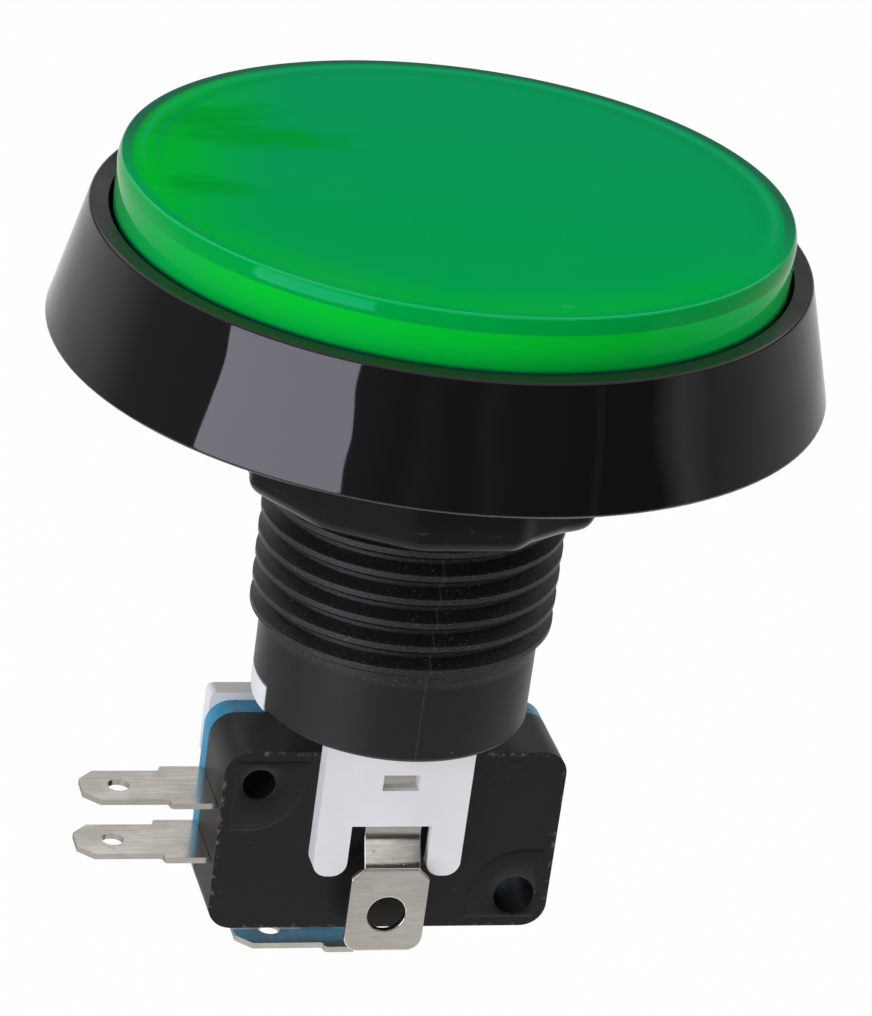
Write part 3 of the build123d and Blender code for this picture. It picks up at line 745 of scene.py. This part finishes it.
def lensProfile(spec):
    # down the outside from the axis, then up inside to the axis again
    low, high = nodeBox("lens_cap")
    outer, top, bottom = high[0], high[2], low[2]
    inner, roof = outer - spec["wall"], top - spec["wall"]
    lean = radians(spec["lean"])
    bend = spec["round"] / sin(lean)
    edgeAt = (outer - bend + (bend - spec["edge"]) * cos(lean), top - spec["edge"])
    bandAt = (outer - bend, top - spec["edge"] - (bend - spec["edge"]) * sin(lean))
    bead, cut = inner - spec["beadDepth"], spec["cut"]
    return np.vstack([
        run((0.0, top), (edgeAt[0] - spec["beside"], top), 12),
        arc(edgeAt, spec["edge"], 90.0, spec["lean"], 9)[:-1],
        arc(bandAt, bend, spec["lean"], 0.0, 12)[:-1],
        run((outer, bandAt[1]), (outer, bottom + cut), 8),
        run((outer - cut, bottom), (bead + cut, bottom), 4),
        run((bead, bottom + cut), (bead, spec["beadTop"] - spec["beadSlope"]), 3),
        run((inner, spec["beadTop"]), (inner, roof - cut), 6),
        run((inner - cut, roof), (0.0, roof), 8),
    ])


gridPiece("lensShell", turned(lensProfile(lensShell), lensShell["around"]), "button", "green_lens",
          replaced=("lens_cap",))

softNut = {
    "sides": 12, "turn": 16.5, "flat": 14.6, "corner": 14.98, "soften": 0.07, "around": 720,
    "bore": 12.05, "boreBevel": 0.3, "low": 1.1, "high": 0.5,  # rounding of the lower and upper edges
    "notches": 3, "notchDepth": 0.50,
    "notchAngle": -58.5, "notchHalf": 11.5, "notchEase": 11.0,  # degrees
}


def nutReach(spec):
    # flat / cos(angle from a flat) - flat: how far a polygon stands beyond its flats, held under its corners
    t = roundTurn(spec["around"])
    pitch = 2.0 * pi / spec["sides"]
    fromFlat = np.mod(t - radians(spec["turn"]), pitch) - pitch / 2.0
    rises = [spec["flat"] / np.cos(fromFlat) - spec["flat"], spec["corner"] - spec["flat"]]
    k = spec["soften"]
    held = -k * np.log(np.exp(-rises[0] / k) + np.exp(-rises[1] / k))
    # grip notches: a whole side sunk by the notch's depth, eased in at its two ends
    gap = 2.0 * pi / spec["notches"]
    away = np.abs(np.mod(t - radians(spec["notchAngle"]) + gap / 2.0, gap) - gap / 2.0)
    ease = np.clip((radians(spec["notchHalf"]) - away) / radians(spec["notchEase"]) + 0.5, 0.0, 1.0)
    return held - spec["notchDepth"] * ease * ease * (3.0 - 2.0 * ease)


def nutProfile(spec):
    # closed loop r, z, share of the polygon: bottom face, outside, top face, bore
    low, high = [corner[2] for corner in nodeBox("panel_nut")]
    flat, bore, bevel = spec["flat"], spec["bore"], spec["boreBevel"]
    outside = np.vstack([
        run((bore + bevel, low), (flat - spec["low"], low), 6)[:-1],
        arc((flat - spec["low"], low + spec["low"]), spec["low"], -90.0, 0.0, 10),
        run((flat, low + spec["low"]), (flat, high - spec["high"]), 6)[1:-1],
        arc((flat - spec["high"], high - spec["high"]), spec["high"], 0.0, 90.0, 7),
        run((flat - spec["high"], high), (bore + bevel, high), 6)[1:],
    ])
    share = np.clip((outside[:, :1] - bore - bevel) / (flat - bore - bevel - spec["low"]), 0.0, 1.0)
    inside = run((bore, high - bevel), (bore, low + bevel), 6)
    return np.vstack([np.hstack([outside, share]), np.hstack([inside, np.zeros((len(inside), 1))])])


gridPiece("softNut", turned(nutProfile(softNut), softNut["around"], nutReach(softNut)), "nut",
          "black_plastic", wrapRows=True, replaced=("panel_nut",))

lampTerminal = {
    "metal": 0.6, "edge": 0.07, "strip": 4.55, "shoulder": 6.2,  # thickness, edge radius and widths
    "flare": 0.45, "flareRate": 3.0, "shoulderDrop": 0.6,  # how the strip widens below the fork's bar
    "joggle": 1.35, "joggleDrop": 2.25, "bend": 0.22, "step": 0.05, "leadGap": 0.05,
    "overlap": 0.4, "sink": 0.05,  # the strip runs on behind the tab, a little thinner
    "tabLength": 7.4, "tabCorner": 0.9, "tabFoot": 1.2, "hole": 3.1, "holeRise": 3.35, "barDrop": 3.5,
    "tabAround": 240,
}


def bentPath(points, step, smooth):
    # evenly spaced points on a polyline, each a weighted mean of its neighbours, which rounds the bends
    corners = np.array(points)
    lengths = np.concatenate([[0.0], np.cumsum(np.linalg.norm(np.diff(corners, axis=0), axis=1))])
    at = np.arange(0.0, lengths[-1], step)
    line = np.stack([np.interp(at, lengths, corners[:, k]) for k in (0, 1)], axis=-1)
    spread = np.arange(-3.0 * smooth, 3.0 * smooth + step / 2.0, step)
    weight = np.exp(-0.5 * (spread / smooth) ** 2)
    weight /= weight.sum()
    half = len(spread) // 2
    padded = np.pad(line, ((half, half), (0, 0)), mode="reflect", reflect_type="odd")
    return np.stack([np.convolve(padded[:, k], weight, mode="valid") for k in (0, 1)], axis=-1)


def slab(halfWidth, halfThick, edge):
    # rectangle with small rounded corners, as offsets across and through the metal
    first = arc((0.0, 0.0), edge, 0.0, 90.0, 4)
    back = first[::-1]
    quarters = [(first, 1.0, 1.0), (back, -1.0, 1.0), (first, -1.0, -1.0), (back, 1.0, -1.0)]
    across = [((halfWidth - edge)[:, None] + curve[:, 0]) * sign for curve, sign, _ in quarters]
    through = [((halfThick - edge)[:, None] + curve[:, 1]) * sign for curve, _, sign in quarters]
    return np.hstack(across), np.hstack(through)


def lampStrip(spec, node, side):
    # from the socket down to the fork, outwards along a joggle and down behind the tab's upper edge
    low, high = nodeBox(node)
    outer, inner = (low[1], high[1]) if side < 0 else (high[1], low[1])
    halfThick = spec["metal"] / 2.0
    tabY, leadY = outer - side * halfThick, inner + side * halfThick
    forkY = tabY - side * spec["joggle"]
    tabTop = low[2] + spec["tabLength"]
    switchTop, neckEnd = caseHigh[2], nodeBox("housing")[0][2]
    runZ = (switchTop + neckEnd) / 2.0
    path = bentPath([
        (leadY, high[2] - spec["leadGap"]), (leadY, runZ), (forkY, runZ),
        (forkY, tabTop + spec["joggleDrop"]), (tabY, tabTop), (tabY, tabTop - spec["overlap"]),
    ], spec["step"], spec["bend"])
    way = np.gradient(path, axis=0)
    way /= np.linalg.norm(way, axis=1, keepdims=True)
    height = path[:, 1]
    belowBar = np.minimum((height - (switchTop - spec["barDrop"])) / spec["flare"], 0.0)
    flared = np.exp(spec["flareRate"] * belowBar) * (height < switchTop - spec["shoulderDrop"])
    width = spec["strip"] + (spec["shoulder"] - spec["strip"]) * flared
    thick = halfThick - np.where(height < tabTop, spec["sink"], 0.0)
    across, through = slab(width / 2.0, thick, spec["edge"])
    y = path[:, :1] - way[:, 1:] * through
    z = path[:, 1:] + way[:, :1] * through
    return capped(np.stack([(low[0] + high[0]) / 2.0 + across, y, z], axis=-1))


def lampTab(spec, node, side):
    # polar grid from the hole to the tab's outline: front face, edge, back face and the hole's wall
    low, high = nodeBox(node)
    middle, halfWidth = (low[0] + high[0]) / 2.0, (high[0] - low[0]) / 2.0
    lift, foot, hole = spec["holeRise"], spec["tabFoot"], spec["hole"] / 2.0
    top = spec["tabLength"] - lift
    angle = roundTurn(spec["tabAround"])
    wayX, wayZ = np.abs(np.cos(angle)), np.sin(angle)
    reach = np.minimum.reduce([
        reachTo(halfWidth, wayX), reachTo(top, wayZ), reachTo(lift, -wayZ),
        reachTo(halfWidth + top - spec["tabCorner"], wayX + wayZ),
    ])
    reach = roundCorner(reach, wayX, wayZ, halfWidth - foot, foot - lift, foot)
    # one face from the hole outwards, then its mirror: share of the way, shift and depth in edge radii
    share = np.array([0.0, 0.0, 0.0, 0.0, 0.5, 1.0, 1.0, 1.0, 1.0])
    shift = np.array([0.0, 0.3, 1.0, 1.5, 0.0, -1.5, -1.0, -0.3, 0.0]) * spec["edge"]
    depth = np.array([1.0, 0.3, 0.0, 0.0, 0.0, 0.0, 0.0, 0.3, 1.0]) * spec["edge"]
    share, shift = [np.concatenate([half, half[::-1]]) for half in (share, shift)]
    depth = np.concatenate([depth, spec["metal"] - depth[::-1]])
    radius = hole + (reach - hole) * share[:, None] + shift[:, None]
    front = low[1] if side < 0 else high[1]
    y = np.broadcast_to(front - side * depth[:, None], radius.shape)
    return np.stack([middle + radius * np.cos(angle), y, low[2] + lift + radius * np.sin(angle)], axis=-1)


for node, side, label in [("lamp_terminal_front", -1.0, "Front"), ("lamp_terminal_rear", 1.0, "Rear")]:
    gridPiece(f"lampStrip{label}", lampStrip(lampTerminal, node, side), "body", "nickel_plated",
              replaced=(node,))
    gridPiece(f"lampTab{label}", lampTab(lampTerminal, node, side), "body", "nickel_plated", wrapRows=True)

coil = {
    "radius": 8.25, "wire": 0.4, "low": -1.05, "high": 6.75, "turns": 5.0, "steps": 480, "sides": 20,
    "closed": 0.12, "endRise": 0.25,  # length and slope of the slow ends, as shares of an even climb
}


def springCoil(spec):
    # centre line: a helix whose rise is slow at both ends; the wire is a circle square to it
    t = np.linspace(0.0, 1.0, spec["steps"])
    share = np.clip((t - spec["closed"]) / (1.0 - 2.0 * spec["closed"]), 0.0, 1.0)
    climb = spec["endRise"] * t + (1.0 - spec["endRise"]) * share
    turn = 2.0 * pi * spec["turns"] * t
    outward = np.stack([np.cos(turn), np.sin(turn), np.zeros_like(turn)], axis=-1)
    centre = outward * spec["radius"]
    centre[:, 2] = spec["low"] + (spec["high"] - spec["low"]) * climb
    ahead = np.gradient(centre, axis=0)
    ahead /= np.linalg.norm(ahead, axis=1, keepdims=True)
    upward = np.cross(ahead, outward)
    around = roundTurn(spec["sides"])[None, :, None]
    size = np.full(spec["steps"], spec["wire"])
    size[[0, -1]] = 0.0  # the end rows close the wire
    centre[0], centre[-1] = centre[1], centre[-2]
    ring = outward[:, None, :] * np.cos(around) - upward[:, None, :] * np.sin(around)
    return centre[:, None, :] + ring * size[:, None, None]


returnSpring = gridPiece("returnSpring", springCoil(coil), "body", "spring_steel",
                         replaced=("return_spring",))
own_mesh(returnSpring)

snapTongue = {"metal": 0.2, "radius": 2.871, "halfAngle": 83.0, "steps": 48, "edge": 0.04, "keep": 0.18}


def bowedTongue(spec):
    # arc over the blade: x = R sin a, z = R cos a, with the metal's thickness along R and its width along y
    low, high = nodeBox("snap_spring")
    halfWidth, halfThick = (high[1] - low[1]) / 2.0, spec["metal"] / 2.0
    angle = np.radians(np.linspace(-spec["halfAngle"], spec["halfAngle"], spec["steps"]))
    across, through = slab(np.full_like(angle, halfWidth), np.full_like(angle, halfThick), spec["edge"])
    radius = spec["radius"] + through
    x = (low[0] + high[0]) / 2.0 + radius * np.sin(angle)[:, None]
    z = high[2] - spec["radius"] - halfThick + radius * np.cos(angle)[:, None]
    return capped(np.stack([x, across, z], axis=-1))


tongue = gridPiece("snapTongue", bowedTongue(snapTongue), "blade", "bronze_strip",
                   replaced=("snap_spring",))
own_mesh(tongue)

casePads = {
    "rise": 0.06, "bevel": 0.2, "inset": 2.85, "holeGap": 0.04, "around": 144,
    "reach": (2.05, 3.9, 4.2), "corner": 4.4,  # from the hole: near sides, along and down; corner radius
    "holes": [(1.3, 0.0), (1.65, 180.0)],  # radius and turn: upper left, lower right
}


def casePad(spec, hole, holeRadius, turn):
    # from the hole's edge out to a pad outline with one large rounded corner; height falls off along a bevel
    near, onward, down = spec["reach"]
    angle = roundTurn(spec["around"])
    wayX, wayZ = np.cos(angle), np.sin(angle)
    outline = np.minimum.reduce([
        reachTo(onward, wayX), reachTo(near, -wayX), reachTo(near, wayZ), reachTo(down, -wayZ),
    ])
    corner = spec["corner"]
    outline = roundCorner(outline, wayX, wayZ, onward - corner, corner - down, corner)
    share = np.array([0.0, 0.0, 0.02, 0.5, 1.0, 1.0, 1.0])
    bevel = np.array([0.0, 0.0, 0.0, 0.0, -1.0, -0.35, 0.0]) * spec["bevel"]
    height = np.array([-0.3, 0.7, 1.0, 1.0, 1.0, 0.75, -0.3]) * spec["rise"]
    first = holeRadius + spec["holeGap"]
    radius = first + (outline - first) * share[:, None] + bevel[:, None]
    flip = cos(radians(turn))
    y = np.broadcast_to(caseLow[1] - height[:, None], radius.shape)
    return np.stack([hole[0] + flip * radius * wayX, y, hole[1] + flip * radius * wayZ], axis=-1)


inset = casePads["inset"]
holePlaces = [(caseLow[0] + inset, caseHigh[2] - inset), (caseHigh[0] - inset, caseLow[2] + inset)]
for number, (hole, (holeRadius, turn)) in enumerate(zip(holePlaces, casePads["holes"])):
    gridPiece(f"casePad{number + 1}", casePad(casePads, hole, holeRadius, turn), "body", "black_case",
              wrapRows=True)
print("new pieces made")


# Stage: white surroundings, floor, a ring of soft greys for the reflections, and a soft lamp

plainWhite = (1.0, 1.0, 1.0, 1.0)
studio = {
    "ambient": 0.70, "ambientTint": (0.97, 0.985, 1.0, 1.0),
    "floorHeight": -450.0, "floorHalf": 4000.0, "floorColour": (0.86, 0.86, 0.86, 1.0), "floorWhite": 0.98,
    "ringRadius": 620.0, "ringLow": -446.0,
    "flagEdge": (125.0, 155.0), "flagHigh": 293.0, "flagLevel": 0.012,
    "ceilingHeight": 500.0, "ceilingRadius": 700.0, "ceilingLevel": 0.60,
}
# soft panels round the object: azimuth from the camera in degrees, negative to its left, and brightness
surround = {
    "upper": [(-180, 0.80), (-108, 0.55), (-90, 0.20), (-64, 0.20), (-18, 0.15), (-6, 0.08), (0, 0.13),
              (12, 0.06), (18, 0.14), (25, 0.08), (48, 0.05), (50, 0.16), (52, 0.06), (68, 0.06), (78, 0.54),
              (88, 0.27), (134, 0.45), (180, 0.80)],
    "middle": [(-180, 0.95), (-110, 0.30), (-60, 0.36), (-40, 0.50), (-18, 0.46), (-3, 0.22), (32, 0.20),
               (70, 0.22), (125, 0.26), (180, 0.95)],
    "lower": [(-180, 0.80), (-148, 0.30), (-40, 0.60), (0, 0.50), (33, 0.58), (90, 0.50), (180, 0.80)],
    "middleEdge": (-380.0, -345.0), "upperEdge": (-245.0, -215.0),  # heights where the rows meet
}


def seenDirectly(tree):
    # 1 for rays from the camera, a mirror or glass, which see the white background
    path = addNode(tree, "ShaderNodeLightPath").outputs
    direct = plus(path["Is Camera Ray"], path["Is Glossy Ray"])
    return calc("ADD", direct, path["Is Transmission Ray"], clamp=True)


def mixShader(factor, first, second):
    return joinNode("ShaderNodeMixShader", {0: factor, 1: first.outputs[0], 2: second.outputs[0]})


def glowing(tree, colour, strength=1.0, kind="ShaderNodeEmission"):
    return addNode(tree, kind, {"Color": colour, "Strength": strength})


def makeWorld(spec):
    world = bpy.data.worlds.new("whiteRoom")
    bpy.context.scene.world = world
    world.use_nodes = True
    tree = world.node_tree
    tree.nodes.clear()
    white = glowing(tree, plainWhite, kind="ShaderNodeBackground")
    light = glowing(tree, spec["ambientTint"], spec["ambient"], kind="ShaderNodeBackground")
    mixed = mixShader(seenDirectly(tree), light, white)
    joinNode("ShaderNodeOutputWorld", {0: mixed.outputs[0]})


def emptyMaterial(name):
    material = bpy.data.materials.new(name)
    material.use_nodes = True
    material.node_tree.nodes.clear()
    return material, material.node_tree


def stagePiece(name, points, material):
    # the same grid of quads, kept off the object
    mesh = gridMesh(name, points)
    mesh.update()
    mesh.materials.append(material)
    piece = addToScene(name, mesh)
    return piece


def makeFloor(spec):
    material, tree = emptyMaterial("paleFloor")
    matt = addNode(tree, "ShaderNodeBsdfDiffuse", {"Color": spec["floorColour"]})
    share = times(seenDirectly(tree), spec["floorWhite"])
    front = mixShader(share, matt, glowing(tree, plainWhite))
    behind = addNode(tree, "ShaderNodeNewGeometry").outputs["Backfacing"]
    mixed = mixShader(behind, front, addNode(tree, "ShaderNodeBsdfTransparent"))
    joinNode("ShaderNodeOutputMaterial", {0: mixed.outputs[0]})
    side = np.linspace(-spec["floorHalf"], spec["floorHalf"], 5)
    x, y = np.meshgrid(side, side, indexing="ij")
    stagePiece("floor", np.stack([x, y, np.full_like(x, spec["floorHeight"])], axis=-1), material)


def ringMaterial(name, spec, rows):
    # three rows of levels round the object, and a dark flag above them
    material, tree = emptyMaterial(name)
    coordinates = addNode(tree, "ShaderNodeTexCoord").outputs["Object"]
    height = times(joinNode("ShaderNodeSeparateXYZ", {0: coordinates}).outputs[2], 1.0 / mm)
    middle = radians(photoCamera["azimuth"])
    toCamera = along(coordinates, (sin(middle), -cos(middle), 0.0))
    across = along(coordinates, (cos(middle), sin(middle), 0.0))
    share = plus(times(calc("ARCTAN2", across, toCamera), 0.5 / pi), 0.5)
    greys = {}
    for row in ("upper", "middle", "lower"):
        stops = [((turn + 180.0) / 360.0, (grey, grey, grey)) for turn, grey in rows[row]]
        greys[row] = ramp(share, stops)
    level = mixColour(rise(height, rows["middleEdge"]), greys["lower"], greys["middle"])
    level = mixColour(rise(height, rows["upperEdge"]), level, greys["upper"])
    level = mixColour(rise(height, spec["flagEdge"]), level, (spec["flagLevel"],) * 3)
    joinNode("ShaderNodeOutputMaterial", {0: glowing(tree, level).outputs[0]})
    return material


def hideFromCamera(piece):
    # seen by reflections alone
    piece.visible_camera = False
    piece.visible_diffuse = False
    piece.visible_transmission = False
    piece.visible_volume_scatter = False
    piece.visible_shadow = False


def makeRing(spec, rows):
    # an upright cylinder: x = R sin t, y = -R cos t, with t from the camera's azimuth
    turn = radians(photoCamera["azimuth"]) + np.radians(np.linspace(-180.0, 180.0, 181))
    t, z = np.meshgrid(turn, np.linspace(spec["ringLow"], spec["flagHigh"], 7), indexing="ij")
    points = np.stack([spec["ringRadius"] * np.sin(t), -spec["ringRadius"] * np.cos(t), z], axis=-1)
    hideFromCamera(stagePiece("surroundRing", points, ringMaterial("surroundRing", spec, rows)))


def makeCeiling(spec):
    # a dim disc overhead, so that rounded edges don't all carry a white line
    material, tree = emptyMaterial("dimCeiling")
    glow = glowing(tree, plainWhite, spec["ceilingLevel"])
    joinNode("ShaderNodeOutputMaterial", {0: glow.outputs[0]})
    radii = np.linspace(1.0, spec["ceilingRadius"], 3)
    turn, radius = np.meshgrid(np.linspace(0.0, 2.0 * pi, 73), radii, indexing="ij")
    height = np.full_like(turn, spec["ceilingHeight"])
    points = np.stack([radius * np.cos(turn), radius * np.sin(turn), height], axis=-1)
    hideFromCamera(stagePiece("dimCeiling", points, material))


# azimuth from the camera and elevation in degrees, distance and size in mm, brightness as seen in a mirror
keyBox = {
    "azimuth": -41.2, "elevation": 3.0, "distance": 500.0, "size": (379.0, 330.0), "level": 4.3,
    "tint": (0.85, 0.86, 1.0),
}


def makeLamp(name, spec):
    right, up, back = viewAxes(photoCamera["azimuth"] + spec["azimuth"], spec["elevation"], 0.0)
    data = bpy.data.lights.new(name, "AREA")
    data.shape = "RECTANGLE"
    data.size, data.size_y = [side * mm for side in spec["size"]]
    data.energy = spec["level"] * pi * data.size * data.size_y
    data.color = spec["tint"]
    lamp = addToScene(name, data)
    standAt(lamp, back * spec["distance"], right, up, back)
    lamp.visible_camera = False


makeWorld(studio)
makeFloor(studio)
makeRing(studio, surround)
makeCeiling(studio)
makeLamp("keyBox", keyBox)
print("stage and lamp set")
